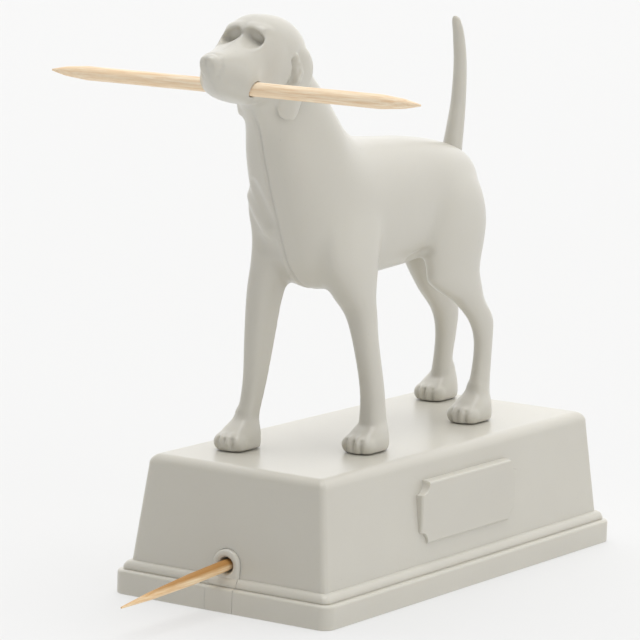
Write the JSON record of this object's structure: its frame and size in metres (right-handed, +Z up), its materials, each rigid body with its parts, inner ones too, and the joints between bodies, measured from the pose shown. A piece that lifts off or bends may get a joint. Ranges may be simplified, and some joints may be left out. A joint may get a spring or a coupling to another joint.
{
  "type": "toothpick holder",
  "caption": "Hound figure on a moulded plinth that stores toothpicks and feeds one out through a nozzle; another lies in its mouth.",
  "frame": {"origin": "middle of the plinth's underside, on the surface that the holder stands on", "axes": "+Z up, the dog looks along -Y, +X is the dog's left, the side with the bare plaque"},
  "size_m": [0.065, 0.1095, 0.0887],
  "materials": {
    "grey_plastic": "satin warm grey, fine moulded grain",
    "inner_plastic": "plain moulded",
    "screw_steel": "plain zinc-plated steel",
    "birch": "turned unfinished birch"
  },
  "bodies": {
    "plinth": {"plinth_shell": "grey_plastic", "dog_left_half": "grey_plastic", "dog_right_half": "grey_plastic", "tail": "grey_plastic", "left_fore_screw": "screw_steel", "right_fore_screw": "screw_steel", "left_hind_screw": "screw_steel", "right_hind_screw": "screw_steel"},
    "cover": {"bottom_cover": "grey_plastic", "feed_ramp": "inner_plastic", "ramp_screw_1": "screw_steel", "ramp_screw_2": "screw_steel", "stored_toothpick_left_1": "birch", "stored_toothpick_left_2": "birch", "stored_toothpick_left_3": "birch", "stored_toothpick_left_4": "birch", "stored_toothpick_left_5": "birch", "stored_toothpick_right_1": "birch", "stored_toothpick_right_2": "birch", "stored_toothpick_right_3": "birch", "stored_toothpick_right_4": "birch", "stored_toothpick_right_5": "birch"},
    "front_pick": {"front_toothpick": "birch"},
    "mouth_pick": {"mouth_toothpick": "birch"}
  },
  "joints": [
    {"name": "cover_pull", "type": "slide", "parent": "plinth", "child": "cover", "axis": [0, 0, -1], "range_m": [0, 0.03]},
    {"name": "front_pick_slide", "type": "slide", "parent": "cover", "child": "front_pick", "axis": [0, -0.9976, -0.0698], "range_m": [-0.026, 0.04]},
    {"name": "mouth_pick_slide", "type": "slide", "parent": "plinth", "child": "mouth_pick", "axis": [1, 0, 0], "range_m": [-0.037, 0.037]}
  ]
}
